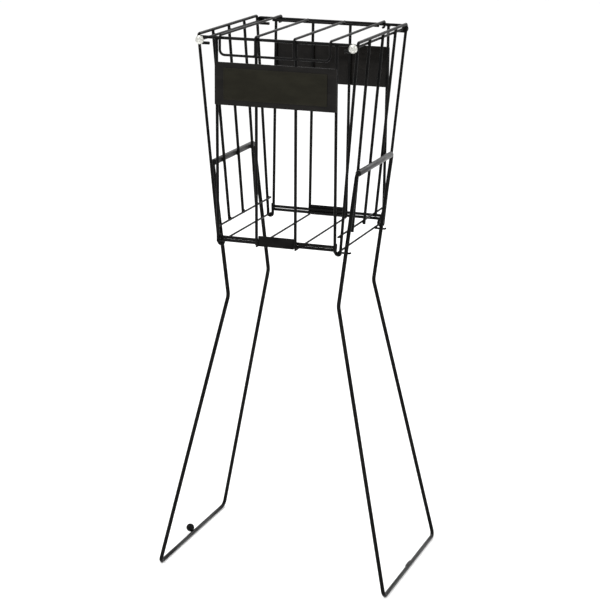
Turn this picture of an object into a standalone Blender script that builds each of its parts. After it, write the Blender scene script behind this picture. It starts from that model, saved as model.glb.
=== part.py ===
"""Wire tennis ball hopper: a tapered wire basket with a hinged lid, on two fold-over wire legs.

Metres, +Z up, the foot bars stand on z = 0, the sign plate faces -Y, the origin is under the middle of the basket.
"""

import math

import bmesh
import bpy
from mathutils import Vector

MM = 0.001

# Wire sizes
WALL_R = 2.4 * MM  # wall wires, top rails and side frames
AXLE_R = 2.0 * MM  # side rods that carry the caps
LID_R = 2.0 * MM
THIN_R = 1.6 * MM  # bottom rods, cross wire and leg hooks
LEG_R = 3.2 * MM
GAP = 0.3 * MM  # kept between wires that are welded or pressed together

# Basket heights
RAIL_Z = 885.3 * MM  # front and back top rails
AXLE_Z = 880.6 * MM
SIDE_TOP_Z = 888.7 * MM  # the run of each side frame above the axle
BOTTOM_RAIL_Z = 565.3 * MM  # middle of the stacked pair
BOTTOM_ROD_Z = 558.4 * MM
HAIRPIN_Z = 557.5 * MM
LOW_SIDE_Z = 583.6 * MM
LOW_SIDE_HALF = 118.0 * MM

# Front and back walls
WALL_X = (-98.0 * MM, -32.5 * MM, 32.5 * MM, 98.0 * MM)
WALL_TOP_Y = 130.5 * MM
WALL_BOTTOM_Y = 125.0 * MM
WALL_BOTTOM_Z = 560.4 * MM
BOTTOM_RAIL_Y = 120.2 * MM
BOTTOM_RAIL_HALF = 94.4 * MM
BOTTOM_RAIL_PITCH = {"front": 5.0 * MM, "back": 5.4 * MM}

# Side walls lean outward
SIDE_TOP_X = 130.0 * MM
SIDE_BOTTOM_X = 102.8 * MM
SIDE_LOW_Z = 557.5 * MM
SIDE_HIGH_Z = 886.0 * MM
CORNER_TOP_Y = 125.6 * MM
CORNER_BOTTOM_Y = 111.4 * MM
SIDE_WIRE_LOW_Z = 580.0 * MM
SIDE_WIRE_TOP_Z = 885.8 * MM
SIDE_TOP_Y = 66.9 * MM
SIDE_BOTTOM_Y = 59.2 * MM
HAIRPIN_R = 4.3 * MM
HAIRPIN_X = SIDE_BOTTOM_X - HAIRPIN_R
AXLE_X = 125.0 * MM
AXLE_HALF = 132.9 * MM
HOOK_R = 4.7 * MM  # rail ends curled round the axles, lid ends curled round the back rail
CAP_R = 6.9 * MM
CAP_DEPTH = 3.4 * MM
REAR_CAP_R = 5.2 * MM

# Pivot tubes and legs
TUBE_X = 121.0 * MM
TUBE_Z = 680.0 * MM
TUBE_R = 5.0 * MM
TUBE_BORE_R = 3.7 * MM
TUBE_HALF = 84.5 * MM
LEG_Y = 91.0 * MM
LEG_END_Y = 62.0 * MM
KNEE_X = 94.0 * MM
KNEE_Z = 464.0 * MM
FOOT_X = 196.0 * MM
FOOT_Y = 142.0 * MM
KNOB_R = 7.0 * MM
KNOB_LIFT = 10.0 * MM  # from the foot bar's middle to the ball's
KNOB_TILT = math.radians(55.0)

# Lid
LID_Z = RAIL_Z + HOOK_R
LID_X = 90.0 * MM
LID_BAR_X = 31.5 * MM
LID_FRONT_Y = -137.0 * MM
FLAP_Z = 860.0 * MM
CROSS_Y = 98.0 * MM

# Sign plates
SIGN_HALF_X = 100.0 * MM
SIGN_LOW_Z = 781.6 * MM
SIGN_HIGH_Z = 848.5 * MM
SIGN_Y = 132.5 * MM
SIGN_THICK = 1.8 * MM
PANEL_HALF_X = 85.0 * MM
PANEL_HALF_Z = 25.0 * MM
PANEL_THICK = 0.8 * MM

BLACK = (0.012, 0.012, 0.013, 1.0)
SATIN_GREY = (0.09, 0.09, 0.09, 1.0)
SILVER = (0.62, 0.62, 0.58, 1.0)
PANEL_GREEN = (0.035, 0.04, 0.02, 1.0)

ROUND = 12  # sides of a wire


def clear_scene():
    for thing in list(bpy.data.objects):
        bpy.data.objects.remove(thing, do_unlink=True)


def make_material(name, colour, metallic, roughness):
    material = bpy.data.materials.new(name)
    material.use_nodes = True
    shader = material.node_tree.nodes["Principled BSDF"]
    shader.inputs["Base Color"].default_value = colour
    shader.inputs["Metallic"].default_value = metallic
    shader.inputs["Roughness"].default_value = roughness
    return material


def add_object(name, bm, look, pivot=(0.0, 0.0, 0.0), smooth_angle=35.0):
    """Moves the mesh so that the object's origin is the pivot, and gives it its own material."""
    pivot = Vector(pivot)
    bmesh.ops.recalc_face_normals(bm, faces=bm.faces)
    for vert in bm.verts:
        vert.co -= pivot
    for face in bm.faces:
        face.smooth = True
    limit = math.radians(smooth_angle)
    for edge in bm.edges:
        edge.smooth = len(edge.link_faces) == 2 and edge.calc_face_angle(0.0) < limit
    mesh = bpy.data.meshes.new(name)
    bm.to_mesh(mesh)
    bm.free()
    thing = bpy.data.objects.new(name, mesh)
    thing.location = pivot
    thing.data.materials.append(make_material(name, *look))
    bpy.context.scene.collection.objects.link(thing)
    return thing


def rounded(points, radius, steps=5):
    """The path with each inner corner replaced by an arc; radius is one number or one for each corner."""
    points = [Vector(p) for p in points]
    corners = len(points) - 2
    radii = radius if isinstance(radius, (list, tuple)) else [radius] * corners
    path = [points[0]]
    for index in range(1, len(points) - 1):
        here = points[index]
        before = (points[index - 1] - here).normalized()
        after = (points[index + 1] - here).normalized()
        half = before.angle(after) / 2
        reach = radii[index - 1] / math.tan(half)
        middle = (before + after).normalized()
        centre = here + middle * (radii[index - 1] / math.sin(half))
        start = here + before * reach - centre
        end = here + after * reach - centre
        sweep = start.angle(end)
        for step in range(steps + 1):
            t = step / steps
            a = math.sin((1 - t) * sweep) / math.sin(sweep)
            b = math.sin(t * sweep) / math.sin(sweep)
            path.append(centre + start * a + end * b)
    path.append(points[-1])
    return path


def arc(centre, axis_a, axis_b, radius, start, end, steps):
    """Points round a centre, from angle start to angle end in degrees, in the plane of two unit axes."""
    centre, axis_a, axis_b = Vector(centre), Vector(axis_a), Vector(axis_b)
    points = []
    for step in range(steps + 1):
        angle = math.radians(start + (end - start) * step / steps)
        points.append(centre + axis_a * (radius * math.cos(angle)) + axis_b * (radius * math.sin(angle)))
    return points


def wire_mesh(path, radius, sides=ROUND, closed_ends=True):
    """A round wire along the path, with a mitred ring at each point and a flat cap at each end."""
    path = [Vector(p) for p in path]
    bm = bmesh.new()
    rings = []
    direction = (path[1] - path[0]).normalized()
    helper = Vector((0, 0, 1)) if abs(direction.z) < 0.9 else Vector((1, 0, 0))
    across = (helper - direction * helper.dot(direction)).normalized()
    for index, point in enumerate(path):
        before = (point - path[index - 1]).normalized() if index else None
        after = (path[index + 1] - point).normalized() if index + 1 < len(path) else None
        if before is None:
            tangent = after
        elif after is None:
            tangent = before
        else:
            tangent = (before + after).normalized()
        across = (across - tangent * across.dot(tangent)).normalized()
        other = tangent.cross(across)
        stretch = 1.0
        fold = Vector((0, 0, 0))
        if before is not None and after is not None and (after - before).length > 1e-6:
            fold = (after - before).normalized()
            stretch = 1.0 / max(0.5, tangent.dot(after))
        ring = []
        for side in range(sides):
            angle = 2 * math.pi * (side + 0.5) / sides
            offset = across * math.cos(angle) + other * math.sin(angle)
            offset += fold * (offset.dot(fold) * (stretch - 1.0))
            ring.append(bm.verts.new(point + offset * radius))
        rings.append(ring)
    for ring, following in zip(rings, rings[1:]):
        for side in range(sides):
            turn = (side + 1) % sides
            bm.faces.new((ring[side], ring[turn], following[turn], following[side]))
    if closed_ends:
        bm.faces.new(rings[0])
        bm.faces.new(list(reversed(rings[-1])))
    return bm


def wire(name, path, radius, look, pivot=(0.0, 0.0, 0.0), sides=ROUND):
    return add_object(name, wire_mesh(path, radius, sides), look, pivot, 50.0)


def box(name, low, high, look, bevel):
    bm = bmesh.new()
    bmesh.ops.create_cube(bm, size=1.0)
    for vert in bm.verts:
        for axis in range(3):
            middle = (low[axis] + high[axis]) / 2
            vert.co[axis] = middle + vert.co[axis] * (high[axis] - low[axis])
    if bevel:
        bmesh.ops.bevel(bm, geom=bm.edges[:], offset=bevel, segments=2, profile=0.5, affect="EDGES")
    return add_object(name, bm, look)


def turned(name, profile, centre, direction, look, sides=28):
    """A solid of revolution about the Y axis through centre; profile is (distance along, radius)."""
    bm = bmesh.new()
    centre = Vector(centre)
    rings = []
    for along, radius in profile:
        ring = []
        for side in range(sides):
            angle = 2 * math.pi * side / sides
            spot = Vector((radius * math.cos(angle), direction * along, radius * math.sin(angle)))
            ring.append(bm.verts.new(centre + spot))
        rings.append(ring)
    for ring, following in zip(rings, rings[1:]):
        for side in range(sides):
            turn = (side + 1) % sides
            bm.faces.new((ring[side], ring[turn], following[turn], following[side]))
    bm.faces.new(rings[0])
    bm.faces.new(list(reversed(rings[-1])))
    return add_object(name, bm, look)


def side_x(z):
    """How far out a side wall's wires are at height z."""
    return SIDE_BOTTOM_X + (SIDE_TOP_X - SIDE_BOTTOM_X) * (z - SIDE_LOW_Z) / (SIDE_HIGH_Z - SIDE_LOW_Z)


def lean_y(top, bottom, z):
    """The distance from the middle plane, at height z, of a wire that leans from top to bottom."""
    return bottom + (top - bottom) * (z - SIDE_LOW_Z) / (SIDE_HIGH_Z - SIDE_LOW_Z)


PAINT = (BLACK, 0.0, 0.35)
CAP_LOOK = (SILVER, 1.0, 0.3)
TUBE_LOOK = (SATIN_GREY, 0.3, 0.4)
PLASTIC = (BLACK, 0.0, 0.45)

ENDS = (("front", -1), ("back", 1))
SIDES = (("left", -1), ("right", 1))


def build_walls():
    """Four upright wires in each of the front and back walls, and the rails they join."""
    for end, sy in ENDS:
        for number, x in enumerate(WALL_X, start=1):
            top = (x, sy * WALL_TOP_Y, RAIL_Z - WALL_R - GAP)
            bottom = (x, sy * WALL_BOTTOM_Y, WALL_BOTTOM_Z)
            wire(f"{end}_wall_wire_{number}", [top, bottom], WALL_R, PAINT)
        y = sy * WALL_TOP_Y
        left_hook = arc((-AXLE_X, y, AXLE_Z), (0, 0, 1), (-1, 0, 0), HOOK_R, 180, 0, 8)
        right_hook = arc((AXLE_X, y, AXLE_Z), (0, 0, 1), (1, 0, 0), HOOK_R, 0, 180, 8)
        stub = [(110.0 * MM, y, AXLE_Z - HOOK_R)]
        path = [(-110.0 * MM, y, AXLE_Z - HOOK_R)] + left_hook + right_hook + stub
        wire(f"{end}_top_rail", path, WALL_R, PAINT)
        for level, dz in (("upper", 1), ("lower", -1)):
            z = BOTTOM_RAIL_Z + dz * BOTTOM_RAIL_PITCH[end] / 2
            y = sy * BOTTOM_RAIL_Y
            ends = [(-BOTTOM_RAIL_HALF, y, z), (BOTTOM_RAIL_HALF, y, z)]
            wire(f"{end}_bottom_rail_{level}", ends, WALL_R, PAINT)
        near, far = sy * 122.8 * MM, sy * 124.4 * MM
        low = (-30.0 * MM, min(near, far), 558.6 * MM)
        high = (30.0 * MM, max(near, far), 575.6 * MM)
        box(f"{end}_bottom_plate", low, high, PAINT, 0.4 * MM)


def build_side(side, sx):
    """One leaning side wall: the axle with its caps, the frame wire in three lengths, three upright wires."""
    axle = [(sx * AXLE_X, -AXLE_HALF, AXLE_Z), (sx * AXLE_X, AXLE_HALF, AXLE_Z)]
    wire(f"{side}_axle", axle, AXLE_R, PAINT)
    dome = [(0.0, 0.86), (0.5, 1.0), (1.5, 1.0), (2.4, 0.93), (3.0, 0.78), (3.4, 0.5)]
    for end, sy in ENDS:
        radius = CAP_R if sy < 0 else REAR_CAP_R
        look = CAP_LOOK if sy < 0 else PLASTIC
        profile = [(along * MM, share * radius) for along, share in dome]
        centre = (sx * AXLE_X, sy * (AXLE_HALF + GAP), AXLE_Z)
        turned(f"{side}_{end}_axle_cap", profile, centre, sy, look)

        top_z = SIDE_TOP_Z - 5.5 * MM
        top = (sx * side_x(top_z), sy * lean_y(CORNER_TOP_Y, CORNER_BOTTOM_Y, top_z), top_z)
        bottom = (sx * SIDE_BOTTOM_X, sy * CORNER_BOTTOM_Y, HAIRPIN_Z + 3.0 * MM)
        turn = arc((sx * HAIRPIN_X, sy * 110.6 * MM, HAIRPIN_Z), (sx, 0, 0), (0, 0, -1), HAIRPIN_R, 0, 180, 8)
        inner = [
            (sx * 95.2 * MM, sy * 113.6 * MM, 562.5 * MM),
            (sx * 97.6 * MM, sy * 119.2 * MM, 567.5 * MM),
            (sx * 98.0 * MM, sy * 120.3 * MM, 573.0 * MM),
        ]
        wire(f"{side}_{end}_corner_wire", [top, bottom] + turn + inner, WALL_R, PAINT)

    shoulder = SIDE_TOP_Z - 5.2 * MM
    corner_y = lean_y(CORNER_TOP_Y, CORNER_BOTTOM_Y, SIDE_TOP_Z)
    x = sx * side_x(SIDE_TOP_Z)
    x_low = sx * side_x(shoulder)
    y_low = lean_y(CORNER_TOP_Y, CORNER_BOTTOM_Y, shoulder)
    corners = [(x_low, -y_low, shoulder), (x, -corner_y, SIDE_TOP_Z), (x, corner_y, SIDE_TOP_Z), (x_low, y_low, shoulder)]
    wire(f"{side}_top_rail", rounded(corners, 4.6 * MM), WALL_R, PAINT)

    for number, share in enumerate((-1, 0, 1), start=1):
        top_z, low_z = SIDE_WIRE_TOP_Z, SIDE_WIRE_LOW_Z
        top = (sx * side_x(top_z), share * lean_y(SIDE_TOP_Y, SIDE_BOTTOM_Y, top_z), top_z)
        low = (sx * side_x(low_z), share * lean_y(SIDE_TOP_Y, SIDE_BOTTOM_Y, low_z), low_z)
        wire(f"{side}_side_wire_{number}", [top, low], WALL_R, PAINT)
    low_x = sx * (side_x(LOW_SIDE_Z) - WALL_R - THIN_R - GAP)
    ends = [(low_x, -LOW_SIDE_HALF, LOW_SIDE_Z), (low_x, LOW_SIDE_HALF, LOW_SIDE_Z)]
    wire(f"{side}_low_side_wire", ends, THIN_R, PAINT)


def build_bottom():
    """Four rods along the bottom, a ball's width apart less a little, and the hooks beside the right leg."""
    outer_y = 113.0 * MM
    for side, sx in SIDES:
        x = sx * HAIRPIN_X
        wire(f"{side}_outer_bottom_rod", [(x, -outer_y, HAIRPIN_Z), (x, outer_y, HAIRPIN_Z)], THIN_R, PAINT)
        x = sx * 32.5 * MM
        ends = [(x, -125.5 * MM, BOTTOM_ROD_Z), (x, 125.5 * MM, BOTTOM_ROD_Z)]
        wire(f"{side}_inner_bottom_rod", ends, THIN_R, PAINT)
    for end, y in (("front", -97.0 * MM), ("back", 86.0 * MM)):
        z = HAIRPIN_Z - 2 * THIN_R - GAP
        path = rounded([(96.0 * MM, y, z), (112.5 * MM, y, z), (115.5 * MM, y, z + 1.2 * MM)], 3.0 * MM)
        wire(f"right_{end}_leg_hook", path, THIN_R, PAINT)


def build_tube(side, sx):
    """The open tube outside the side wall that the leg's two ends turn in."""
    bm = bmesh.new()
    rings = []
    count = 20
    chamfer = 0.5 * MM
    outline = [
        (-TUBE_HALF, TUBE_BORE_R), (-TUBE_HALF, TUBE_R - chamfer), (-TUBE_HALF + chamfer, TUBE_R),
        (TUBE_HALF - chamfer, TUBE_R), (TUBE_HALF, TUBE_R - chamfer), (TUBE_HALF, TUBE_BORE_R),
    ]
    for y, radius in outline:
        ring = []
        for step in range(count):
            angle = 2 * math.pi * step / count
            spot = (sx * TUBE_X + radius * math.cos(angle), y, TUBE_Z + radius * math.sin(angle))
            ring.append(bm.verts.new(spot))
        rings.append(ring)
    rings.append(rings[0])
    for ring, following in zip(rings, rings[1:]):
        for step in range(count):
            turn = (step + 1) % count
            bm.faces.new((ring[step], ring[turn], following[turn], following[step]))
    add_object(f"{side}_pivot_tube", bm, TUBE_LOOK, smooth_angle=30.0)


def build_leg(side, sx):
    """A U of heavy wire: ends turned into the tube, a knee below the basket, a foot bar on the floor."""
    foot_z = LEG_R
    corners = [
        (sx * TUBE_X, -LEG_END_Y, TUBE_Z),
        (sx * TUBE_X, -LEG_Y, TUBE_Z),
        (sx * KNEE_X, -LEG_Y, KNEE_Z),
        (sx * FOOT_X, -FOOT_Y, foot_z),
        (sx * FOOT_X, FOOT_Y, foot_z),
        (sx * KNEE_X, LEG_Y, KNEE_Z),
        (sx * TUBE_X, LEG_Y, TUBE_Z),
        (sx * TUBE_X, LEG_END_Y, TUBE_Z),
    ]
    bends = [6.0 * MM, 30.0 * MM, 9.0 * MM, 9.0 * MM, 30.0 * MM, 6.0 * MM]
    path = rounded(corners, bends, 6)
    wire(f"{side}_leg", path, LEG_R, PAINT, (sx * TUBE_X, 0.0, TUBE_Z), 16)


def build_knob(centre, aim, pivot):
    """A ball on a short neck, turned about the line from the foot bar's middle through the ball's centre."""
    neck_r = 3.4 * MM
    start = math.asin(neck_r / KNOB_R)
    profile = [(-KNOB_LIFT, neck_r)]
    for step in range(15):
        angle = start + (math.pi - start - 0.12) * step / 14
        profile.append((-KNOB_R * math.cos(angle), KNOB_R * math.sin(angle)))
    across = Vector((0.0, 1.0, 0.0))
    other = aim.cross(across)
    bm = bmesh.new()
    rings = []
    count = 24
    for along, radius in profile:
        ring = []
        for step in range(count):
            angle = 2 * math.pi * step / count
            spot = across * (radius * math.cos(angle)) + other * (radius * math.sin(angle))
            ring.append(bm.verts.new(centre + aim * along + spot))
        rings.append(ring)
    for ring, following in zip(rings, rings[1:]):
        for step in range(count):
            turn = (step + 1) % count
            bm.faces.new((ring[step], ring[turn], following[turn], following[step]))
    bm.faces.new(rings[0])
    bm.faces.new(list(reversed(rings[-1])))
    return add_object("left_foot_knob", bm, PLASTIC, pivot)


def build_catch():
    """The ball knob on the left foot bar and the low saddle on the right one, for holding both together."""
    pivot = (-TUBE_X, 0.0, TUBE_Z)
    aim = Vector((-math.cos(KNOB_TILT), 0.0, math.sin(KNOB_TILT)))
    centre = Vector((-FOOT_X, 0.0, LEG_R)) + aim * KNOB_LIFT
    knob = build_knob(centre, aim, pivot)

    cutter_path = [(-FOOT_X, -20.0 * MM, LEG_R), (-FOOT_X, 20.0 * MM, LEG_R)]
    cutter = wire("knob_groove_cutter", cutter_path, LEG_R + GAP, PLASTIC, sides=24)
    cutter.hide_render = True
    cutter.display_type = "WIRE"
    groove = knob.modifiers.new("groove", "BOOLEAN")
    groove.operation = "DIFFERENCE"
    groove.solver = "EXACT"
    groove.object = cutter

    bm = bmesh.new()
    inner, outer, half = LEG_R + GAP, LEG_R + 1.6 * MM, 12.0 * MM
    rows = []
    steps = 12
    for y, height in ((-half, 0.35), (-half * 0.6, 1.0), (half * 0.6, 1.0), (half, 0.35)):
        row = []
        for radius in (inner, inner + (outer - inner) * height):
            for step in range(steps + 1):
                angle = math.radians(62.0 + 150.0 * step / steps)
                row.append(bm.verts.new((FOOT_X + radius * math.cos(angle), y, LEG_R + radius * math.sin(angle))))
        rows.append(row)
    count = steps + 1
    loop = list(range(count)) + list(range(2 * count - 1, count - 1, -1))
    for row, following in zip(rows, rows[1:]):
        for here, turn in zip(loop, loop[1:] + loop[:1]):
            bm.faces.new((row[here], row[turn], following[turn], following[here]))
    for row in (rows[0], rows[-1]):
        for step in range(steps):
            bm.faces.new((row[step], row[step + 1], row[count + step + 1], row[count + step]))
    add_object("right_foot_saddle", bm, PLASTIC, (TUBE_X, 0.0, TUBE_Z))


def build_lid():
    """The lid's outer wire with its front flap and rear hooks, two middle bars and a rear cross wire."""
    pivot = (0.0, WALL_TOP_Y, RAIL_Z)
    left_hook = arc((-LID_X, WALL_TOP_Y, RAIL_Z), (0, 0, 1), (0, 1, 0), HOOK_R, 180, 0, 8)
    right_hook = arc((LID_X, WALL_TOP_Y, RAIL_Z), (0, 0, 1), (0, 1, 0), HOOK_R, 0, 180, 8)
    flap = [
        left_hook[-1],
        (-LID_X, LID_FRONT_Y, LID_Z),
        (-LID_X, LID_FRONT_Y, FLAP_Z),
        (LID_X, LID_FRONT_Y, FLAP_Z),
        (LID_X, LID_FRONT_Y, LID_Z),
        right_hook[0],
    ]
    bent = rounded(flap, [5.0 * MM, 8.0 * MM, 8.0 * MM, 5.0 * MM], 6)
    under_y, under_z = WALL_TOP_Y - 5.0 * MM, RAIL_Z - HOOK_R
    ends = [(-LID_X, under_y, under_z)], [(LID_X, under_y, under_z)]
    path = ends[0] + left_hook[:-1] + bent + right_hook[1:] + ends[1]
    wire("lid_frame", path, LID_R, PAINT, pivot)
    for side, sx in SIDES:
        x = sx * LID_BAR_X
        bar = [
            (x, CROSS_Y + 5.0 * MM, LID_Z),
            (x, LID_FRONT_Y, LID_Z),
            (x, LID_FRONT_Y, FLAP_Z + 2 * LID_R + GAP - 2.0 * MM),
        ]
        wire(f"lid_{side}_bar", rounded(bar, 5.0 * MM), LID_R, PAINT, pivot)
    z = LID_Z - LID_R - THIN_R - GAP
    reach = LID_X + LID_R
    wire("lid_cross_wire", [(-reach, CROSS_Y, z), (reach, CROSS_Y, z)], THIN_R, PAINT, pivot)


def build_signs():
    """A flat plate on the front wall and one on the back wall, the front one with a blank panel."""
    for end, sy in ENDS:
        near, far = sy * SIGN_Y, sy * (SIGN_Y + SIGN_THICK)
        low = (-SIGN_HALF_X, min(near, far), SIGN_LOW_Z)
        high = (SIGN_HALF_X, max(near, far), SIGN_HIGH_Z)
        box(f"{end}_sign_plate", low, high, PLASTIC, 0.5 * MM)
    middle = (SIGN_LOW_Z + SIGN_HIGH_Z) / 2
    back = -(SIGN_Y + SIGN_THICK + GAP)
    low = (-PANEL_HALF_X, back - PANEL_THICK, middle - PANEL_HALF_Z)
    high = (PANEL_HALF_X, back, middle + PANEL_HALF_Z)
    box("front_sign_panel", low, high, (PANEL_GREEN, 0.0, 0.4), 0.25 * MM)


clear_scene()
build_walls()
for side_name, side_sign in SIDES:
    build_side(side_name, side_sign)
    build_tube(side_name, side_sign)
    build_leg(side_name, side_sign)
build_bottom()
build_catch()
build_lid()
build_signs()
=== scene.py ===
"""Looks for the wire tennis ball hopper: finer wires with weld beads, moulded and turned small parts,
materials and the stage."""

import math
import random

import bmesh
import bpy
from mathutils import Matrix, Vector


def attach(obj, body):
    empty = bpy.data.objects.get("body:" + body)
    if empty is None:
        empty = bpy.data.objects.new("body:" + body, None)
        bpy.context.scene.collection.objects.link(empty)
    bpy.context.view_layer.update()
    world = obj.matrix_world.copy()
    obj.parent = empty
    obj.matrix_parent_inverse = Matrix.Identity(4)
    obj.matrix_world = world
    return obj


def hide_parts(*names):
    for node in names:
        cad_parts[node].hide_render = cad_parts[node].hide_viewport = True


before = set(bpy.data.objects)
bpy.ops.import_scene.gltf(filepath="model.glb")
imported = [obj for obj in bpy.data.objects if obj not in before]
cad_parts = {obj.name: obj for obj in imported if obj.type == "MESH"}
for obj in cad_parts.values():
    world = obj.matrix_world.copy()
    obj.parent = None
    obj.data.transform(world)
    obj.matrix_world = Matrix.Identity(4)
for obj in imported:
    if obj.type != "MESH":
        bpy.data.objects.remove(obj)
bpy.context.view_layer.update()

MM = 0.001
SIDES = (("left", -1), ("right", 1))
ENDS = (("front", -1), ("back", 1))

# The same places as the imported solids
WALL_R = 2.4 * MM
AXLE_R = 2.0 * MM
LID_R = 2.0 * MM
THIN_R = 1.6 * MM
LEG_R = 3.2 * MM
GAP = 0.3 * MM

RAIL_Z = 885.3 * MM
AXLE_Z = 880.6 * MM
SIDE_TOP_Z = 888.7 * MM
BOTTOM_RAIL_Z = 565.3 * MM
BOTTOM_ROD_Z = 558.4 * MM
HAIRPIN_Z = 557.5 * MM
LOW_SIDE_Z = 583.6 * MM
LOW_SIDE_HALF = 118.0 * MM

INNER_ROD_X = 32.5 * MM
WALL_X = (-98.0 * MM, -INNER_ROD_X, INNER_ROD_X, 98.0 * MM)
WALL_TOP_Y = 130.5 * MM
WALL_BOTTOM_Y = 125.0 * MM
WALL_BOTTOM_Z = 560.4 * MM
BOTTOM_RAIL_Y = 120.2 * MM
BOTTOM_RAIL_HALF = 94.4 * MM
BOTTOM_RAIL_PITCH = {"front": 5.0 * MM, "back": 5.4 * MM}

SIDE_TOP_X = 130.0 * MM
SIDE_BOTTOM_X = 102.8 * MM
SIDE_LOW_Z = 557.5 * MM
SIDE_HIGH_Z = 886.0 * MM
CORNER_TOP_Y = 125.6 * MM
CORNER_BOTTOM_Y = 111.4 * MM
SIDE_WIRE_LOW_Z = 580.0 * MM
SIDE_WIRE_TOP_Z = 885.8 * MM
SIDE_TOP_Y = 66.9 * MM
SIDE_BOTTOM_Y = 59.2 * MM
HAIRPIN_R = 4.3 * MM
HAIRPIN_X = SIDE_BOTTOM_X - HAIRPIN_R
HAIRPIN_Y = 110.6 * MM
# Where the wire goes after each hairpin, up to the wall, in millimetres
HAIRPIN_TAIL = ((94.4, 111.4, 560.0), (95.2, 113.6, 562.5), (97.6, 119.2, 567.5), (98.0, 120.3, 573.0))
CORNER_BEND_R = 4.6 * MM
AXLE_X = 125.0 * MM
AXLE_HALF = 132.9 * MM
HOOK_R = 4.7 * MM
RAIL_STUB_X = 110.0 * MM
CAP_R = 6.9 * MM
REAR_CAP_R = 5.2 * MM

OUTER_ROD_HALF = 113.0 * MM
INNER_ROD_HALF = 125.5 * MM
INNER_WELD_Y = 122.0 * MM
LEG_HOOK_Y = (("front", -97.0 * MM), ("back", 86.0 * MM))
LEG_HOOK_X = (96.0 * MM, 112.5 * MM, 115.5 * MM)
LEG_HOOK_LIFT = 1.2 * MM
PLATE_HALF_X = 30.0 * MM
PLATE_Z = (558.6 * MM, 575.6 * MM)
PLATE_Y = (122.8 * MM, 124.4 * MM)

TUBE_X = 121.0 * MM
TUBE_Z = 680.0 * MM
TUBE_R = 5.0 * MM
TUBE_BORE_R = 3.7 * MM
TUBE_HALF = 84.5 * MM
LEG_Y = 91.0 * MM
LEG_END_Y = 62.0 * MM
KNEE_X = 94.0 * MM
KNEE_Z = 464.0 * MM
FOOT_X = 196.0 * MM
FOOT_Y = 142.0 * MM
KNOB_R = 7.0 * MM
KNOB_LIFT = 10.0 * MM
KNOB_TILT = math.radians(55.0)
KNOB_NECK_R = 3.4 * MM
SADDLE_HALF = 12.0 * MM
SADDLE_RISE = 1.6 * MM
LEG_BENDS = (6.0 * MM, 30.0 * MM, 9.0 * MM, 9.0 * MM, 30.0 * MM, 6.0 * MM)

LID_Z = RAIL_Z + HOOK_R
LID_X = 90.0 * MM
LID_BAR_X = 31.5 * MM
LID_FRONT_Y = -137.0 * MM
FLAP_Z = 860.0 * MM
CROSS_Y = 98.0 * MM
LID_BEND_R = 5.0 * MM
FLAP_BEND_R = 8.0 * MM

SIGN_HALF_X = 100.0 * MM
SIGN_LOW_Z = 781.6 * MM
SIGN_HIGH_Z = 848.5 * MM
SIGN_Y = 132.5 * MM
SIGN_THICK = 1.8 * MM
PANEL_HALF_X = 85.0 * MM
PANEL_HALF_Z = 25.0 * MM
PANEL_THICK = 0.8 * MM

WIRE_SIDES = 20
THIN_SIDES = 16
LEG_SIDES = 28

# Half width, half height and half length of each kind of weld bead, in millimetres
BEADS = {
    "wall_top": (2.55, 1.5, 3.3),
    "bottom_rail": (1.9, 1.5, 2.5),
    "side_top": (2.4, 1.1, 3.2),
    "low_side": (2.5, 1.5, 3.4),
    "axle": (2.3, 1.4, 2.8),
    "tube": (3.4, 1.7, 3.0),
    "outer_rod": (2.0, 1.5, 2.0),
    "inner_rod": (2.2, 1.4, 3.4),
    "leg_hook": (1.9, 1.2, 1.9),
    "lid_bar": (2.3, 1.4, 3.0),
    "lid_cross": (1.9, 1.3, 2.3),
}

FLOOR_HALF = 12.0
WORLD_STRENGTH = 1.06
# Name, place, what it points at, width, height, power
LIGHTS = (
    ("key", (-1.6, -1.8, 3.0), (0, 0, 0.5), 1.8, 1.8, 60.0),
    ("fill", (2.4, -1.6, 1.8), (0, 0, 0.5), 1.6, 2.2, 22.0),
    ("rim", (0.5, 2.6, 2.6), (0, 0, 0.6), 2.2, 1.2, 30.0),
)
CAMERA_PLACE = (1.0392, -2.9041, 1.2861)
CAMERA_YAW = math.radians(-19.75)
CAMERA_PITCH = math.radians(15.3)
CAMERA_ROLL = math.radians(0.62)
CAMERA_LENS = 116.46

rng = random.Random(7)


# ---------------------------------------------------------------- materials


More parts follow.
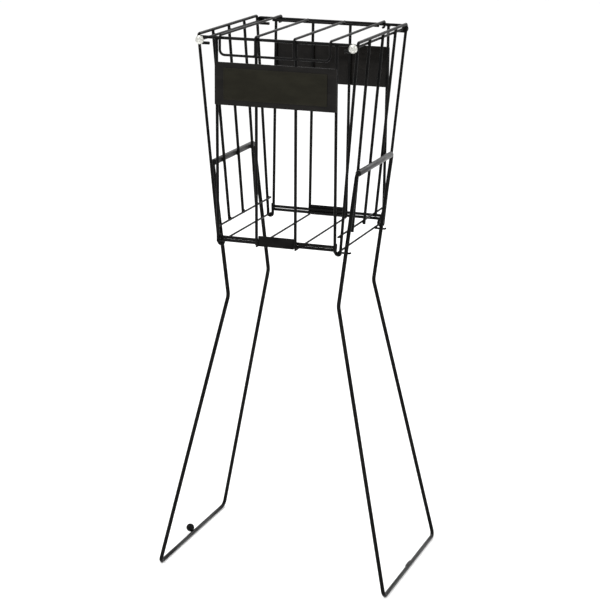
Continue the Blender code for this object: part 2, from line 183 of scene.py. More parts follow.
class Nodes:
    """A short way to build a node tree: each call adds a node and links what it is given."""

    def __init__(self, material):
        material.use_nodes = True
        self.tree = material.node_tree
        self.shader = self.tree.nodes["Principled BSDF"]
        self.place = self.add("ShaderNodeTexCoord").outputs["Object"]

    def add(self, kind, inputs=None, **settings):
        node = self.tree.nodes.new(kind)
        for key, value in settings.items():
            setattr(node, key, value)
        for key, value in (inputs or {}).items():
            if isinstance(value, bpy.types.NodeSocket):
                self.tree.links.new(value, node.inputs[key])
            else:
                node.inputs[key].default_value = value
        return node

    def noise(self, scale, detail=4.0, roughness=0.55, place=None):
        inputs = {"Vector": place or self.place, "Scale": scale, "Detail": detail, "Roughness": roughness}
        return self.add("ShaderNodeTexNoise", inputs).outputs["Fac"]

    def stretch(self, scale):
        return self.add("ShaderNodeMapping", {"Vector": self.place, "Scale": scale}).outputs["Vector"]

    def ramp(self, value, low, high, to_low=0.0, to_high=1.0):
        inputs = {"Value": value, "From Min": low, "From Max": high, "To Min": to_low, "To Max": to_high}
        return self.add("ShaderNodeMapRange", inputs, interpolation_type="SMOOTHSTEP").outputs["Result"]

    def math(self, operation, a, b=0.0):
        node = self.add("ShaderNodeMath", operation=operation)
        for index, value in enumerate((a, b)):
            if isinstance(value, bpy.types.NodeSocket):
                self.tree.links.new(value, node.inputs[index])
            else:
                node.inputs[index].default_value = value
        return node.outputs["Value"]

    def blend(self, share, first, second):
        node = self.add("ShaderNodeMix", data_type="RGBA")
        for index, value in ((0, share), (6, first), (7, second)):
            if isinstance(value, bpy.types.NodeSocket):
                self.tree.links.new(value, node.inputs[index])
            else:
                node.inputs[index].default_value = value
        return node.outputs[2]

    def bump(self, height, distance, strength=1.0, under=None):
        inputs = {"Height": height, "Distance": distance, "Strength": strength}
        if under is not None:
            inputs["Normal"] = under
        return self.add("ShaderNodeBump", inputs).outputs["Normal"]

    def to_shader(self, **sockets):
        names = {"base": "Base Color", "rough": "Roughness", "normal": "Normal", "metal": "Metallic"}
        for key, value in sockets.items():
            socket = self.shader.inputs[names[key]]
            if isinstance(value, bpy.types.NodeSocket):
                self.tree.links.new(value, socket)
            else:
                socket.default_value = value


def grey(level, warmth=0.0):
    return (level * (1 + warmth), level, level * (1 - warmth), 1.0)


def powder_coat(name, scuffs=0.0, seed=0.0):
    """Semi-gloss black powder coat: orange peel, patches of gloss and specks. On the foot bars, which lie
    within a few millimetres of the ground, it also has scuffs down to bare steel and pale lines along the
    bar.
    The pale lines are a painted highlight standing for the floor reflected in the glossy coat."""
    material = bpy.data.materials.new(name)
    n = Nodes(material)
    offset = (seed, seed * 0.7, -seed)
    shifted = n.add("ShaderNodeMapping", {"Vector": n.place, "Location": offset}).outputs["Vector"]
    patches = n.noise(38.0, 3.0, 0.5, shifted)
    peel = n.noise(900.0, 2.0, 0.45, shifted)
    fine = n.noise(3400.0, 2.0, 0.6, shifted)
    base = n.blend(n.ramp(patches, 0.35, 0.68), grey(0.0020), grey(0.0052, 0.04))
    specks = n.ramp(n.noise(2100.0, 1.0, 0.3, shifted), 0.70, 0.76)
    base = n.blend(n.math("MULTIPLY", specks, 0.3), base, grey(0.045))
    rough = n.ramp(patches, 0.3, 0.7, 0.27, 0.42)
    rough = n.math("ADD", rough, n.ramp(fine, 0.3, 0.7, -0.04, 0.04))
    metal = 0.0
    normal = n.bump(peel, 0.00022, 0.55)
    normal = n.bump(fine, 0.00004, 0.5, normal)
    if scuffs:
        rubbed = n.noise(240.0, 6.0, 0.72, shifted)
        broken = n.noise(1500.0, 3.0, 0.6, n.stretch((1.0, 0.25, 1.0)))
        height = n.add("ShaderNodeSeparateXYZ", {"Vector": n.place}).outputs["Z"]
        low = n.ramp(height, 0.0006, 0.0034, 1.0, 0.0)
        # Painted highlight: pale lines along each foot bar, only within about 7 mm of the ground, standing
        # for the floor reflected in the glossy coat
        painted_highlight_streaks = n.ramp(n.noise(420.0, 3.0, 0.6, n.stretch((1.0, 0.03, 1.0))), 0.40, 0.62)
        painted_highlight_streaks = n.math("MULTIPLY", painted_highlight_streaks, n.ramp(height, 0.0060, 0.0074, 0.75, 0.0))
        base = n.blend(painted_highlight_streaks, base, grey(0.070))
        patchy = n.math("MULTIPLY", rubbed, n.math("ADD", broken, 0.5))
        worn = n.math("MULTIPLY", n.ramp(patchy, 0.50, 0.60), low)
        worn = n.math("MULTIPLY", worn, scuffs)
        base = n.blend(worn, base, (0.30, 0.29, 0.275, 1.0))
        metal = n.math("MULTIPLY", worn, 0.9)
        rough = n.math("ADD", rough, n.math("MULTIPLY", worn, 0.12))
        normal = n.bump(worn, -0.00006, 1.0, normal)
    n.to_shader(base=base, rough=rough, metal=metal, normal=normal)
    n.shader.inputs["Specular IOR Level"].default_value = 0.042
    n.shader.inputs["Coat Weight"].default_value = 0.015
    n.shader.inputs["Coat Roughness"].default_value = 0.18
    return material


def bright_cap(name):
    """Bright-plated pressed steel: turning marks, small dents and a few dull spots."""
    material = bpy.data.materials.new(name)
    n = Nodes(material)
    clouds = n.noise(420.0, 4.0, 0.6)
    spots = n.ramp(n.noise(620.0, 2.0, 0.5), 0.54, 0.64)
    base = n.blend(n.ramp(clouds, 0.3, 0.75), (0.74, 0.74, 0.70, 1.0), (0.42, 0.42, 0.385, 1.0))
    base = n.blend(n.math("MULTIPLY", spots, 0.8), base, (0.15, 0.145, 0.13, 1.0))
    scratches = n.noise(1600.0, 4.0, 0.7, n.stretch((1.0, 0.1, 3.2)))
    rough = n.math("ADD", n.ramp(clouds, 0.3, 0.7, 0.20, 0.36), n.math("MULTIPLY", spots, 0.2))
    normal = n.bump(scratches, 0.00005, 0.6)
    normal = n.bump(clouds, 0.0006, 0.8, normal)
    n.to_shader(base=base, rough=rough, metal=1.0, normal=normal)
    return material


def tube_steel(name):
    """Grey satin paint on a drawn tube: lengthwise draw lines, mottling and rubbed places."""
    material = bpy.data.materials.new(name)
    n = Nodes(material)
    mottle = n.noise(620.0, 5.0, 0.65)
    lines = n.noise(1300.0, 3.0, 0.6, n.stretch((1.0, 0.045, 1.0)))
    broad = n.noise(70.0, 3.0, 0.5, n.stretch((1.0, 0.4, 1.0)))
    base = n.blend(n.ramp(mottle, 0.36, 0.64), grey(0.008), grey(0.040, 0.01))
    base = n.blend(n.math("MULTIPLY", n.ramp(lines, 0.60, 0.70), 0.5), base, grey(0.11))
    rough = n.ramp(broad, 0.3, 0.7, 0.30, 0.46)
    normal = n.bump(lines, 0.00006, 0.6)
    normal = n.bump(mottle, 0.00008, 0.5, normal)
    n.to_shader(base=base, rough=rough, metal=0.25, normal=normal)
    n.shader.inputs["Specular IOR Level"].default_value = 0.2
    return material


def moulded(name, base_low, base_high, rough_low, rough_high, grain=0.00005, shine=0.2):
    """Injection-moulded plastic: spark-eroded grain, flow marks and a little scuffing."""
    material = bpy.data.materials.new(name)
    n = Nodes(material)
    flow = n.noise(26.0, 4.0, 0.6, n.stretch((1.0, 1.0, 2.6)))
    texture = n.noise(2600.0, 3.0, 0.6)
    scratch = n.ramp(n.noise(520.0, 5.0, 0.75, n.stretch((0.16, 1.0, 1.4))), 0.66, 0.72)
    base = n.blend(n.ramp(flow, 0.3, 0.7), base_low, base_high)
    base = n.blend(n.math("MULTIPLY", scratch, 0.18), base, grey(0.05))
    rough = n.math("ADD", n.ramp(flow, 0.3, 0.7, rough_low, rough_high), n.math("MULTIPLY", scratch, 0.08))
    normal = n.bump(texture, grain, 0.6)
    n.to_shader(base=base, rough=rough, normal=normal)
    n.shader.inputs["Specular IOR Level"].default_value = shine
    return material


COAT = powder_coat("black_powder_coat")
# The leg coat also carries a painted highlight along the foot bars, besides its real scuffs
LEG_COAT = powder_coat("black_powder_coat_scuffed_painted_highlight", scuffs=0.6, seed=0.31)
CAP = bright_cap("bright_plated_steel")
TUBE = tube_steel("grey_tube_paint")
KNOB_BLACK = moulded("black_gloss_plastic", grey(0.0015), grey(0.003), 0.08, 0.14, 0.00002, 0.07)
CAP_BLACK = moulded("black_cap_plastic", grey(0.007), grey(0.013), 0.34, 0.48)
SIGN_BLACK = moulded(
    "sign_black_plastic", grey(0.0035, 0.10), grey(0.0065, 0.12), 0.18, 0.28, 0.00003, 0.12
)
PANEL = moulded(
    "panel_film", (0.0075, 0.0068, 0.0038, 1.0), (0.0110, 0.0102, 0.0060, 1.0), 0.34, 0.46, 0.00004, 0.09
)


# ---------------------------------------------------------------- shapes


def rounded(points, radius, steps=12):
    """The path with each inner corner replaced by an arc; radius is one number or one for each corner."""
    points = [Vector(p) for p in points]
    corners = len(points) - 2
    radii = radius if isinstance(radius, (list, tuple)) else [radius] * corners
    path = [points[0]]
    for index in range(1, len(points) - 1):
        here = points[index]
        before = (points[index - 1] - here).normalized()
        after = (points[index + 1] - here).normalized()
        half = before.angle(after) / 2
        reach = radii[index - 1] / math.tan(half)
        middle = (before + after).normalized()
        centre = here + middle * (radii[index - 1] / math.sin(half))
        start = here + before * reach - centre
        end = here + after * reach - centre
        sweep = start.angle(end)
        for step in range(steps + 1):
            t = step / steps
            a = math.sin((1 - t) * sweep) / math.sin(sweep)
            b = math.sin(t * sweep) / math.sin(sweep)
            path.append(centre + start * a + end * b)
    path.append(points[-1])
    return path


def arc(centre, axis_a, axis_b, radius, start, end, steps=18):
    """Points round a centre, from angle start to angle end in degrees, in the plane of two unit axes."""
    centre, axis_a, axis_b = Vector(centre), Vector(axis_a), Vector(axis_b)
    points = []
    for step in range(steps + 1):
        angle = math.radians(start + (end - start) * step / steps)
        points.append(centre + axis_a * (radius * math.cos(angle)) + axis_b * (radius * math.sin(angle)))
    return points


def softened(points, rounds=3):
    """Corner cutting, which keeps both end points."""
    points = [Vector(p) for p in points]
    for _ in range(rounds):
        path = [points[0]]
        for a, b in zip(points, points[1:]):
            path.append(a.lerp(b, 0.25))
            path.append(a.lerp(b, 0.75))
        path.append(points[-1])
        points = path
    return points


def frames_along(path):
    """A tangent and two axes across it at each point, turned as little as possible from one to the next."""
    direction = (path[1] - path[0]).normalized()
    helper = Vector((0, 0, 1)) if abs(direction.z) < 0.9 else Vector((1, 0, 0))
    across = (helper - direction * helper.dot(direction)).normalized()
    frames = []
    for index, point in enumerate(path):
        before = (point - path[index - 1]).normalized() if index else None
        after = (path[index + 1] - point).normalized() if index + 1 < len(path) else None
        if before is None:
            tangent = after
        elif after is None:
            tangent = before
        else:
            tangent = (before + after).normalized()
        across = (across - tangent * across.dot(tangent)).normalized()
        frames.append((point, tangent, across.copy(), tangent.cross(across)))
    return frames


def add_sweep(bm, path, radius, sides=WIRE_SIDES, edge=0.4 * MM):
    """A round wire along the path. Each end is cut square with a small rounded edge."""
    path = [Vector(p) for p in path]
    frames = frames_along(path)
    first, last = frames[0], frames[-1]
    steps = 3
    rings_in = []
    for step in range(steps, -1, -1):
        angle = math.pi / 2 * step / steps
        along = edge * (1 - math.sin(angle))
        shrink = edge * (1 - math.cos(angle))
        rings_in.append((along, radius - shrink))
    rings = []

    def ring(centre, frame_here, size):
        _, _, across, other = frame_here
        verts = []
        for side in range(sides):
            angle = 2 * math.pi * (side + 0.5) / sides
            verts.append(bm.verts.new(centre + (across * math.cos(angle) + other * math.sin(angle)) * size))
        return verts

    for along, size in rings_in:
        rings.append(ring(first[0] + first[1] * along, first, size))
    for here in frames[1:-1]:
        rings.append(ring(here[0], here, radius))
    for along, size in reversed(rings_in):
        rings.append(ring(last[0] - last[1] * along, last, size))
    for a, b in zip(rings, rings[1:]):
        for side in range(sides):
            turn = (side + 1) % sides
            bm.faces.new((a[side], b[side], b[turn], a[turn])).smooth = True
    for verts, centre, flip in ((rings[0], first[0], False), (rings[-1], last[0], True)):
        order = list(reversed(verts)) if flip else verts
        bm.faces.new(order).smooth = False


def finish_mesh(name, bm, material, body, nodes=(), sharp=None):
    """Makes the object, gives it its material, parents it to the body it rides on and hides the imported
    solids it stands for.
    """
    bmesh.ops.recalc_face_normals(bm, faces=bm.faces)
    if sharp is not None:
        limit = math.radians(sharp)
        for edge in bm.edges:
            edge.smooth = len(edge.link_faces) == 2 and edge.calc_face_angle(0.0) < limit
    mesh = bpy.data.meshes.new(name)
    bm.to_mesh(mesh)
    bm.free()
    thing = bpy.data.objects.new(name, mesh)
    thing.data.materials.append(material)
    bpy.context.scene.collection.objects.link(thing)
    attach(thing, body)
    if nodes:
        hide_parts(*nodes)
    return thing


def wire(name, path, radius, nodes, body="basket", material=None, sides=WIRE_SIDES):
    bm = bmesh.new()
    add_sweep(bm, path, radius, sides)
    return finish_mesh(name, bm, material or COAT, body, nodes)


def turned(bm, profile, centre, axis, across, count=48):
    """Faces of a solid of revolution; profile is (distance along the axis, radius), closed at both ends."""
    centre, axis, across = Vector(centre), Vector(axis), Vector(across)
    other = axis.cross(across)
    rings = []
    for along, radius in profile:
        ring = []
        for step in range(count):
            angle = 2 * math.pi * step / count
            spot = across * (radius * math.cos(angle)) + other * (radius * math.sin(angle))
            ring.append(bm.verts.new(centre + axis * along + spot))
        rings.append(ring)
    for a, b in zip(rings, rings[1:]):
        for step in range(count):
            turn = (step + 1) % count
            bm.faces.new((a[step], a[turn], b[turn], b[step])).smooth = True
    return rings


def close_ends(bm, rings):
    """Flat faces over the first and last rings."""
    bm.faces.new(rings[0])
    bm.faces.new(list(reversed(rings[-1])))


def add_bead(bm, kind, centre, normal, along=(0.3, 0.2, 0.93)):
    """A weld bead: a lumpy flattened ball between two wires, flat across the normal."""
    width, height, length = (value * MM for value in BEADS[kind])
    centre, normal = Vector(centre), Vector(normal).normalized()
    helper = Vector(along)
    first = (helper - normal * helper.dot(normal)).normalized()
    second = normal.cross(first)
    before = set(bm.verts)
    bmesh.ops.create_uvsphere(bm, u_segments=14, v_segments=8, radius=1.0)
    made = [v for v in bm.verts if v not in before]
    phases = [rng.uniform(0, 6.28) for _ in range(4)]
    for vert in made:
        x, y, z = vert.co
        swell = 1.0 + 0.07 * math.sin(3 * x + phases[0]) + 0.06 * math.sin(4 * y + phases[1])
        swell += 0.05 * math.sin(5 * (x + z) + phases[2])
        spot = first * (x * length) + second * (y * width) + normal * (z * height)
        vert.co = centre + spot * swell
        for face in vert.link_faces:
            face.smooth = True


def side_x(z):
    return SIDE_BOTTOM_X + (SIDE_TOP_X - SIDE_BOTTOM_X) * (z - SIDE_LOW_Z) / (SIDE_HIGH_Z - SIDE_LOW_Z)


def lean_y(top, bottom, z):
    return bottom + (top - bottom) * (z - SIDE_LOW_Z) / (SIDE_HIGH_Z - SIDE_LOW_Z)


def wall_y(z):
    top_z = RAIL_Z - WALL_R - GAP
    return WALL_BOTTOM_Y + (WALL_TOP_Y - WALL_BOTTOM_Y) * (z - WALL_BOTTOM_Z) / (top_z - WALL_BOTTOM_Z)


# ---------------------------------------------------------------- basket wires


def build_walls():
    beads = bmesh.new()
    for end, sy in ENDS:
        for number, x in enumerate(WALL_X, start=1):
            top_z = RAIL_Z - WALL_R - GAP
            top, bottom = (x, sy * WALL_TOP_Y, top_z), (x, sy * WALL_BOTTOM_Y, WALL_BOTTOM_Z)
            name = f"{end}_wall_wire_{number}"
            wire(f"{name}_coated", [top, bottom], WALL_R, [name])
            add_bead(beads, "wall_top", (x, sy * WALL_TOP_Y, top_z + 0.1 * MM), (0, 0, 1), (1, 0, 0))
        y = sy * WALL_TOP_Y
        left_hook = arc((-AXLE_X, y, AXLE_Z), (0, 0, 1), (-1, 0, 0), HOOK_R, 180, 0)
        right_hook = arc((AXLE_X, y, AXLE_Z), (0, 0, 1), (1, 0, 0), HOOK_R, 0, 180)
        left_stub, right_stub = ((x, y, AXLE_Z - HOOK_R) for x in (-RAIL_STUB_X, RAIL_STUB_X))
        path = [left_stub] + left_hook + right_hook + [right_stub]
        wire(f"{end}_top_rail_coated", path, WALL_R, [f"{end}_top_rail"])
        for level, dz in (("upper", 1), ("lower", -1)):
            z = BOTTOM_RAIL_Z + dz * BOTTOM_RAIL_PITCH[end] / 2
            y = sy * BOTTOM_RAIL_Y
            node = f"{end}_bottom_rail_{level}"
            wire(f"{node}_coated", [(-BOTTOM_RAIL_HALF, y, z), (BOTTOM_RAIL_HALF, y, z)], WALL_R, [node])
            for x in WALL_X:
                reach = min(abs(x), BOTTOM_RAIL_HALF - 1.0 * MM) * (1 if x > 0 else -1)
                spot = ((x + reach) / 2, sy * (BOTTOM_RAIL_Y + wall_y(z)) / 2, z)
                add_bead(beads, "bottom_rail", spot, (0, 1, 0), (1, 0, 0))
    finish_mesh("wall_weld_beads", beads, COAT, "basket")


def build_side(side, sx, beads):
    axle = [(sx * AXLE_X, -AXLE_HALF, AXLE_Z), (sx * AXLE_X, AXLE_HALF, AXLE_Z)]
    wire(f"{side}_axle_coated", axle, AXLE_R, [f"{side}_axle"])

    # One bent wire: hairpin, corner, along the top, corner, hairpin
    top_y = lean_y(CORNER_TOP_Y, CORNER_BOTTOM_Y, SIDE_TOP_Z)
    halves = []
    for sy in (-1, 1):
        start = (sx * SIDE_BOTTOM_X, sy * CORNER_BOTTOM_Y, HAIRPIN_Z + 3.0 * MM)
        turn = arc((sx * HAIRPIN_X, sy * HAIRPIN_Y, HAIRPIN_Z), (sx, 0, 0), (0, 0, -1), HAIRPIN_R, 0, 180, 16)
        tail = [(sx * x * MM, sy * y * MM, z * MM) for x, y, z in HAIRPIN_TAIL]
        inner = softened([turn[-1]] + tail, 2)
        halves.append((start, turn[:-1] + inner))
    corner = [
        halves[0][0],
        (sx * side_x(SIDE_TOP_Z), -top_y, SIDE_TOP_Z),
        (sx * side_x(SIDE_TOP_Z), top_y, SIDE_TOP_Z),
        halves[1][0],
    ]
    path = list(reversed(halves[0][1])) + rounded(corner, CORNER_BEND_R) + halves[1][1]
    nodes = [f"{side}_front_corner_wire", f"{side}_top_rail", f"{side}_back_corner_wire"]
    wire(f"{side}_side_frame_coated", path, WALL_R, nodes)

    low_x = side_x(LOW_SIDE_Z) - WALL_R - THIN_R - GAP
    ends = [(sx * low_x, -LOW_SIDE_HALF, LOW_SIDE_Z), (sx * low_x, LOW_SIDE_HALF, LOW_SIDE_Z)]
    wire(f"{side}_low_side_wire_coated", ends, THIN_R, [f"{side}_low_side_wire"], sides=THIN_SIDES)

    lines = []
    for number, share in enumerate((-1, 0, 1), start=1):
        top_z, low_z = SIDE_WIRE_TOP_Z, SIDE_WIRE_LOW_Z
        top = (sx * side_x(top_z), share * lean_y(SIDE_TOP_Y, SIDE_BOTTOM_Y, top_z), top_z)
        low = (sx * side_x(low_z), share * lean_y(SIDE_TOP_Y, SIDE_BOTTOM_Y, low_z), low_z)
        name = f"{side}_side_wire_{number}"
        wire(f"{name}_coated", [top, low], WALL_R, [name])
        add_bead(beads, "side_top", (top[0], top[1], SIDE_TOP_Z - WALL_R), (0, 0, 1), (0, 1, 0))
        lines.append((share * SIDE_TOP_Y, share * SIDE_BOTTOM_Y, True))
    for sy in (-1, 1):
        lines.append((sy * CORNER_TOP_Y, sy * CORNER_BOTTOM_Y, False))
    for top, bottom, on_tube in lines:
        y_low = lean_y(top, bottom, LOW_SIDE_Z)
        x = sx * (side_x(LOW_SIDE_Z) - WALL_R - GAP / 2)
        add_bead(beads, "low_side", (x, y_low, LOW_SIDE_Z + 0.4 * MM), (1, 0, 0), (0, 1, 0))
        y_high = lean_y(top, bottom, AXLE_Z)
        x = sx * (side_x(AXLE_Z) + AXLE_X + AXLE_R - WALL_R) / 2
        add_bead(beads, "axle", (x, y_high, AXLE_Z), (1, 0, 0), (0, 1, 0))
        if on_tube:
            y_tube = lean_y(top, bottom, TUBE_Z)
            x = sx * (TUBE_X - TUBE_R + side_x(TUBE_Z) + WALL_R) / 2
            add_bead(beads, "tube", (x, y_tube, TUBE_Z), (1, 0, 0), (0, 1, 0))


def build_bottom(beads):
    for side, sx in SIDES:
        x = sx * HAIRPIN_X
        ends = [(x, -OUTER_ROD_HALF, HAIRPIN_Z), (x, OUTER_ROD_HALF, HAIRPIN_Z)]
        wire(f"{side}_outer_bottom_rod_coated", ends, THIN_R, [f"{side}_outer_bottom_rod"], sides=THIN_SIDES)
        for sy in (-1, 1):
            add_bead(beads, "outer_rod", (x, sy * HAIRPIN_Y, HAIRPIN_Z - 1.9 * MM), (0, 0, 1))
        x = sx * INNER_ROD_X
        ends = [(x, -INNER_ROD_HALF, BOTTOM_ROD_Z), (x, INNER_ROD_HALF, BOTTOM_ROD_Z)]
        wire(f"{side}_inner_bottom_rod_coated", ends, THIN_R, [f"{side}_inner_bottom_rod"], sides=THIN_SIDES)
        for sy in (-1, 1):
            spot = (x, sy * INNER_WELD_Y, BOTTOM_ROD_Z + THIN_R + 0.2 * MM)
            add_bead(beads, "inner_rod", spot, (0, 0, 1), (0, 1, 0))
    root_x, bend_x, tip_x = LEG_HOOK_X
    for end, y in LEG_HOOK_Y:
        z = HAIRPIN_Z - 2 * THIN_R - GAP
        corner = [(root_x, y, z), (bend_x, y, z), (tip_x, y, z + LEG_HOOK_LIFT)]
        node = f"right_{end}_leg_hook"
        wire(f"{node}_coated", rounded(corner, 3.0 * MM, 6), THIN_R, [node], sides=THIN_SIDES)
        add_bead(beads, "leg_hook", (HAIRPIN_X, y, HAIRPIN_Z - THIN_R), (0, 0, 1))


def build_plates():
    """Thin steel plates between the two middle wires, with rolled edges and soft corners."""
    near, far = PLATE_Y
    low, high = (-PLATE_HALF_X, PLATE_Z[0]), (PLATE_HALF_X, PLATE_Z[1])
    for end, sy in ENDS:
        node = f"{end}_bottom_plate"
        slab(f"{node}_coated", low, high, near, far, sy, 1.6 * MM, 0.5 * MM, COAT, [node])


def outline(low, high, radius, steps=6):
    """The points of a rectangle with rounded corners, in x and z, anticlockwise."""
    points = []
    corners = ((high[0], high[1], 0), (low[0], high[1], 90), (low[0], low[1], 180), (high[0], low[1], 270))
    for x, z, start in corners:
        cx = x - radius if x == high[0] else x + radius
        cz = z - radius if z == high[1] else z + radius
        for step in range(steps + 1):
            angle = math.radians(start + 90 * step / steps)
            points.append((cx + radius * math.cos(angle), cz + radius * math.sin(angle)))
    return points


def slab(name, low, high, near, far, sy, corner, edge, material, nodes, field=()):
    """A flat piece facing along y, with rounded corners and edges and an optional stepped field outside."""
    bm = bmesh.new()
    steps = 4
    # (distance from the middle plane, how far the outline is pulled in)
    profile = []
    for step in range(steps + 1):
        angle = math.pi / 2 * step / steps
        profile.append((near + edge * (1 - math.cos(angle)), edge * (1 - math.sin(angle))))
    for step in range(steps + 1):
        angle = math.pi / 2 * step / steps
        profile.append((far - edge * (1 - math.sin(angle)), edge * (1 - math.cos(angle))))
    profile.extend(field)
    loops = []
    for depth, inset in profile:
        lo = (low[0] + inset, low[1] + inset)
        hi = (high[0] - inset, high[1] - inset)
        ring = []
        for x, z in outline(lo, hi, max(0.15 * MM, corner - inset)):
            ring.append(bm.verts.new((x, sy * depth, z)))
        loops.append(ring)
    for a, b in zip(loops, loops[1:]):
        for index in range(len(a)):
            turn = (index + 1) % len(a)
            bm.faces.new((a[index], a[turn], b[turn], b[index])).smooth = True
    close_ends(bm, loops)
    return finish_mesh(name, bm, material, "basket", nodes, 32.0)


def build_signs():
    """The front and back plates. The front one carries a blank panel inside a raised rim."""
    low, high = (-SIGN_HALF_X, SIGN_LOW_Z), (SIGN_HALF_X, SIGN_HIGH_Z)
    near, far = SIGN_Y, SIGN_Y + SIGN_THICK
    middle = (SIGN_LOW_Z + SIGN_HIGH_Z) / 2
    for end, sy in ENDS:
        node = f"{end}_sign_plate"
        name, corner, edge = f"{node}_moulded", 1.6 * MM, 0.45 * MM
        slab(name, low, high, near, far, sy, corner, edge, SIGN_BLACK, [node])
    near = far + 0.02 * MM
    far = near + GAP + PANEL_THICK - 0.02 * MM
    low, high = (-PANEL_HALF_X, middle - PANEL_HALF_Z), (PANEL_HALF_X, middle + PANEL_HALF_Z)
    field = [(far, 1.6 * MM), (far - 0.25 * MM, 2.1 * MM), (far - 0.3 * MM, 2.6 * MM)]
    slab("front_sign_panel_blank", low, high, near, far, -1, 1.8 * MM, 0.5 * MM, PANEL,
         ["front_sign_panel"], field)


# ---------------------------------------------------------------- caps, tubes, legs


def build_caps():
    for side, sx in SIDES:
        centre = Vector((sx * AXLE_X, -(AXLE_HALF + GAP), AXLE_Z))
        bm = bmesh.new()
        r = CAP_R
        profile = [(-0.15 * MM, 3.0 * MM), (-0.15 * MM, 0.86 * r), (0.0, 0.93 * r), (0.35 * MM, 0.985 * r)]
        profile += [(0.8 * MM, r), (1.25 * MM, 0.985 * r), (1.5 * MM, 0.94 * r)]
        profile += [(1.62 * MM, 0.88 * r), (1.7 * MM, 0.83 * r)]
        for step in range(1, 11):
            angle = math.pi / 2 * step / 10
            share = math.cos(angle)
            profile.append((1.7 * MM + 1.7 * MM * math.sin(angle), max(0.02, share) * 0.83 * r))
        rings = turned(bm, profile, centre, (0, -1, 0), (1, 0, 0))
        close_ends(bm, rings)
        node = f"{side}_front_axle_cap"
        finish_mesh(f"{node}_bright", bm, CAP, "basket", [node], 50.0)

        centre = Vector((sx * AXLE_X, AXLE_HALF + GAP, AXLE_Z))
        bm = bmesh.new()
        r = REAR_CAP_R
        profile = [(0.0, 2.2 * MM), (0.0, 0.9 * r), (0.15 * MM, 0.97 * r), (0.5 * MM, r), (1.6 * MM, r)]
        profile += [(2.2 * MM, 0.97 * r), (2.7 * MM, 0.9 * r), (3.05 * MM, 0.78 * r), (3.25 * MM, 0.6 * r)]
        profile += [(3.36 * MM, 0.35 * r), (3.4 * MM, 0.06 * r)]
        rings = turned(bm, profile, centre, (0, 1, 0), (1, 0, 0))
        close_ends(bm, rings)
        node = f"{side}_back_axle_cap"
        finish_mesh(f"{node}_moulded", bm, CAP_BLACK, "basket", [node], 50.0)


def build_tube(side, sx):
    bm = bmesh.new()
    outer, bore, half = TUBE_R, TUBE_BORE_R, TUBE_HALF
    lip = 0.35 * MM
    rim = [(half - lip, outer), (half - 0.1 * MM, outer - 0.1 * MM), (half, outer - lip)]
    rim += [(half, bore + 0.25 * MM), (half - 0.25 * MM, bore)]
    profile = rim + [(-y, r) for y, r in reversed(rim)]
    rings = turned(bm, profile, (sx * TUBE_X, 0, TUBE_Z), (0, 1, 0), (1, 0, 0))
    count = len(rings[0])
    for step in range(count):
        turn = (step + 1) % count
        bm.faces.new((rings[-1][step], rings[-1][turn], rings[0][turn], rings[0][step])).smooth = True
    node = f"{side}_pivot_tube"
    finish_mesh(f"{node}_drawn", bm, TUBE, "basket", [node], 40.0)


def build_leg(side, sx):
    corners = [
        (sx * TUBE_X, -LEG_END_Y, TUBE_Z),
        (sx * TUBE_X, -LEG_Y, TUBE_Z),
        (sx * KNEE_X, -LEG_Y, KNEE_Z),
        (sx * FOOT_X, -FOOT_Y, LEG_R),
        (sx * FOOT_X, FOOT_Y, LEG_R),
        (sx * KNEE_X, LEG_Y, KNEE_Z),
        (sx * TUBE_X, LEG_Y, TUBE_Z),
        (sx * TUBE_X, LEG_END_Y, TUBE_Z),
    ]
    path = rounded(corners, LEG_BENDS, 14)
    wire(f"{side}_leg_coated", path, LEG_R, [f"{side}_leg"], f"{side}_leg_frame", LEG_COAT, LEG_SIDES)


def build_knob():
    """A moulded ball on a short neck, with a parting line round its middle."""
    aim = Vector((-math.cos(KNOB_TILT), 0.0, math.sin(KNOB_TILT)))
    centre = Vector((-FOOT_X, 0.0, LEG_R)) + aim * KNOB_LIFT
    neck = KNOB_NECK_R
    start = math.asin((neck + 0.5 * MM) / KNOB_R)
    profile = [(-7.6 * MM, neck + 0.5 * MM), (-7.35 * MM, neck + 0.15 * MM)]
    profile += [(-7.1 * MM, neck), (-6.75 * MM, neck + 0.1 * MM)]
    steps = 40
    for step in range(steps + 1):
        angle = start + (math.pi - start - 0.02) * step / steps
        radius = KNOB_R
        if abs(angle - math.pi / 2) < 0.05:
            radius += 0.07 * MM
        profile.append((-radius * math.cos(angle), radius * math.sin(angle)))
    bm = bmesh.new()
    rings = turned(bm, profile, centre, aim, (0, 1, 0), 56)
    close_ends(bm, rings)
    node = "left_foot_knob"
    finish_mesh(f"{node}_moulded", bm, KNOB_BLACK, "left_leg_frame", [node], 55.0)


def build_saddle():
    """A low moulded saddle lying on the upper inner side of the right foot bar, thinning out at its ends."""
    bm = bmesh.new()
    inner = LEG_R + 0.05 * MM
    stations, sweep = 25, 22
    rows = []
    for station in range(stations):
        t = -1 + 2 * station / (stations - 1)
        y = SADDLE_HALF * t
        rise = max(0.06, (1 - abs(t) ** 3.2)) ** 0.6
        row = []
        for layer in (0, 1):
            for step in range(sweep + 1):
                share = step / sweep
                round_off = max(0.0, 1 - abs(2 * share - 1) ** 5)
                radius = inner + layer * (0.1 * MM + SADDLE_RISE * rise * round_off)
                angle = math.radians(62.0 + 150.0 * share)
                spot = (FOOT_X + radius * math.cos(angle), y, LEG_R + radius * math.sin(angle))
                row.append(bm.verts.new(spot))
        rows.append(row)
    count = sweep + 1
    loop = list(range(count)) + list(range(2 * count - 1, count - 1, -1))
    for a, b in zip(rows, rows[1:]):
        for here, turn in zip(loop, loop[1:] + loop[:1]):
            bm.faces.new((a[here], a[turn], b[turn], b[here])).smooth = True
    for row in (rows[0], rows[-1]):
        for step in range(sweep):
            bm.faces.new((row[step], row[step + 1], row[count + step + 1], row[count + step]))
    node = "right_foot_saddle"
    finish_mesh(f"{node}_moulded", bm, CAP_BLACK, "right_leg_frame", [node], 45.0)


# ---------------------------------------------------------------- lid


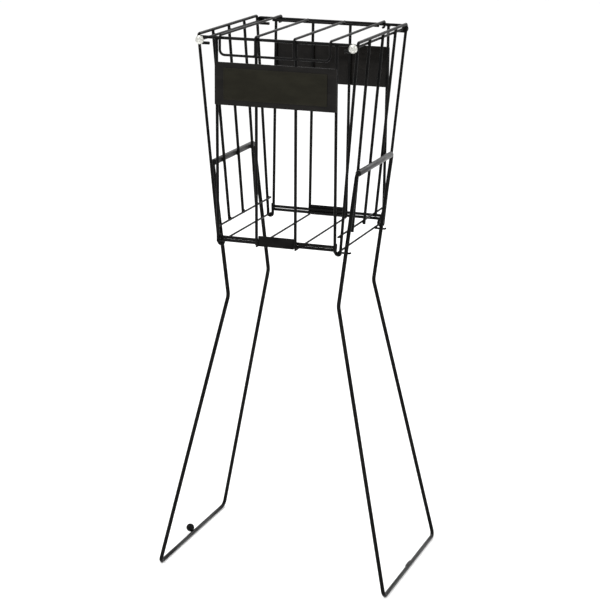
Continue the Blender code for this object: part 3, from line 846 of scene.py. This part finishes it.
def build_lid():
    left_hook = arc((-LID_X, WALL_TOP_Y, RAIL_Z), (0, 0, 1), (0, 1, 0), HOOK_R, 180, 0)
    right_hook = arc((LID_X, WALL_TOP_Y, RAIL_Z), (0, 0, 1), (0, 1, 0), HOOK_R, 0, 180)
    flap = [
        left_hook[-1],
        (-LID_X, LID_FRONT_Y, LID_Z),
        (-LID_X, LID_FRONT_Y, FLAP_Z),
        (LID_X, LID_FRONT_Y, FLAP_Z),
        (LID_X, LID_FRONT_Y, LID_Z),
        right_hook[0],
    ]
    bent = rounded(flap, [LID_BEND_R, FLAP_BEND_R, FLAP_BEND_R, LID_BEND_R])
    under_y, under_z = WALL_TOP_Y - 5.0 * MM, RAIL_Z - HOOK_R
    path = [(-LID_X, under_y, under_z)] + left_hook[:-1] + bent + right_hook[1:] + [(LID_X, under_y, under_z)]
    wire("lid_frame_coated", path, LID_R, ["lid_frame"], "lid")
    beads = bmesh.new()
    z = LID_Z - LID_R - THIN_R - GAP
    for side, sx in SIDES:
        x = sx * LID_BAR_X
        low_z = FLAP_Z + LID_R + GAP
        bar = [(x, CROSS_Y + 5.0 * MM, LID_Z), (x, LID_FRONT_Y, LID_Z), (x, LID_FRONT_Y, low_z)]
        wire(f"lid_{side}_bar_coated", rounded(bar, LID_BEND_R), LID_R, [f"lid_{side}_bar"], "lid")
        add_bead(beads, "lid_bar", (x, LID_FRONT_Y, FLAP_Z + LID_R), (0, 0, 1), (1, 0, 0))
        for cross_x in (x, sx * LID_X):
            spot = (cross_x, CROSS_Y, LID_Z - LID_R - GAP / 2)
            add_bead(beads, "lid_cross", spot, (0, 0, 1), (1, 0, 0))
    reach = LID_X + LID_R
    ends = [(-reach, CROSS_Y, z), (reach, CROSS_Y, z)]
    wire("lid_cross_wire_coated", ends, THIN_R, ["lid_cross_wire"], "lid", sides=THIN_SIDES)
    finish_mesh("lid_weld_beads", beads, COAT, "lid")


# ---------------------------------------------------------------- stage


def build_stage():
    bm = bmesh.new()
    signs = ((-1, -1), (1, -1), (1, 1), (-1, 1))
    bm.faces.new([bm.verts.new((FLOOR_HALF * x, FLOOR_HALF * y, 0.0)) for x, y in signs])
    mesh = bpy.data.meshes.new("floor")
    bm.to_mesh(mesh)
    bm.free()
    floor = bpy.data.objects.new("floor", mesh)
    bpy.context.scene.collection.objects.link(floor)
    material = bpy.data.materials.new("pale_floor")
    n = Nodes(material)
    n.to_shader(base=(0.96, 0.96, 0.96, 1.0), rough=n.ramp(n.noise(3.0), 0.3, 0.7, 0.55, 0.65))
    n.shader.inputs["Specular IOR Level"].default_value = 0.2
    floor.data.materials.append(material)

    world = bpy.data.worlds.new("studio")
    bpy.context.scene.world = world
    world.use_nodes = True
    tree = world.node_tree
    background = tree.nodes["Background"]
    background.inputs["Color"].default_value = (1.0, 1.0, 1.0, 1.0)
    background.inputs["Strength"].default_value = WORLD_STRENGTH

    for name, place, aim, width, height, power in LIGHTS:
        light = bpy.data.lights.new(name, "AREA")
        light.shape = "RECTANGLE"
        light.size, light.size_y = width, height
        light.energy = power
        lamp = bpy.data.objects.new(name, light)
        lamp.location = place
        lamp.rotation_mode = "QUATERNION"
        lamp.rotation_quaternion = (Vector(aim) - Vector(place)).to_track_quat("-Z", "Y")
        bpy.context.scene.collection.objects.link(lamp)


def build_camera():
    """A three-quarter view from the front, a little above the basket."""
    yaw, pitch, roll = CAMERA_YAW, CAMERA_PITCH, CAMERA_ROLL
    forward = Vector((math.sin(yaw) * math.cos(pitch), math.cos(yaw) * math.cos(pitch), -math.sin(pitch)))
    right = Vector((math.cos(yaw), -math.sin(yaw), 0.0))
    up = right.cross(forward)
    across = right * math.cos(roll) + up * math.sin(roll)
    above = up * math.cos(roll) - right * math.sin(roll)
    data = bpy.data.cameras.new("camera")
    data.sensor_width = 36.0
    data.lens = CAMERA_LENS
    data.clip_end = 60.0
    camera = bpy.data.objects.new("camera", data)
    turn = Matrix((across, above, -forward)).transposed()
    camera.matrix_world = Matrix.Translation(CAMERA_PLACE) @ turn.to_4x4()
    bpy.context.scene.collection.objects.link(camera)
    bpy.context.scene.camera = camera


build_walls()
basket_beads = bmesh.new()
for side_name, side_sign in SIDES:
    build_side(side_name, side_sign, basket_beads)
    build_tube(side_name, side_sign)
    build_leg(side_name, side_sign)
build_bottom(basket_beads)
finish_mesh("basket_weld_beads", basket_beads, COAT, "basket")
build_plates()
build_signs()
build_caps()
build_knob()
build_saddle()
build_lid()
build_stage()
build_camera()
bpy.context.scene.view_settings.view_transform = "Standard"
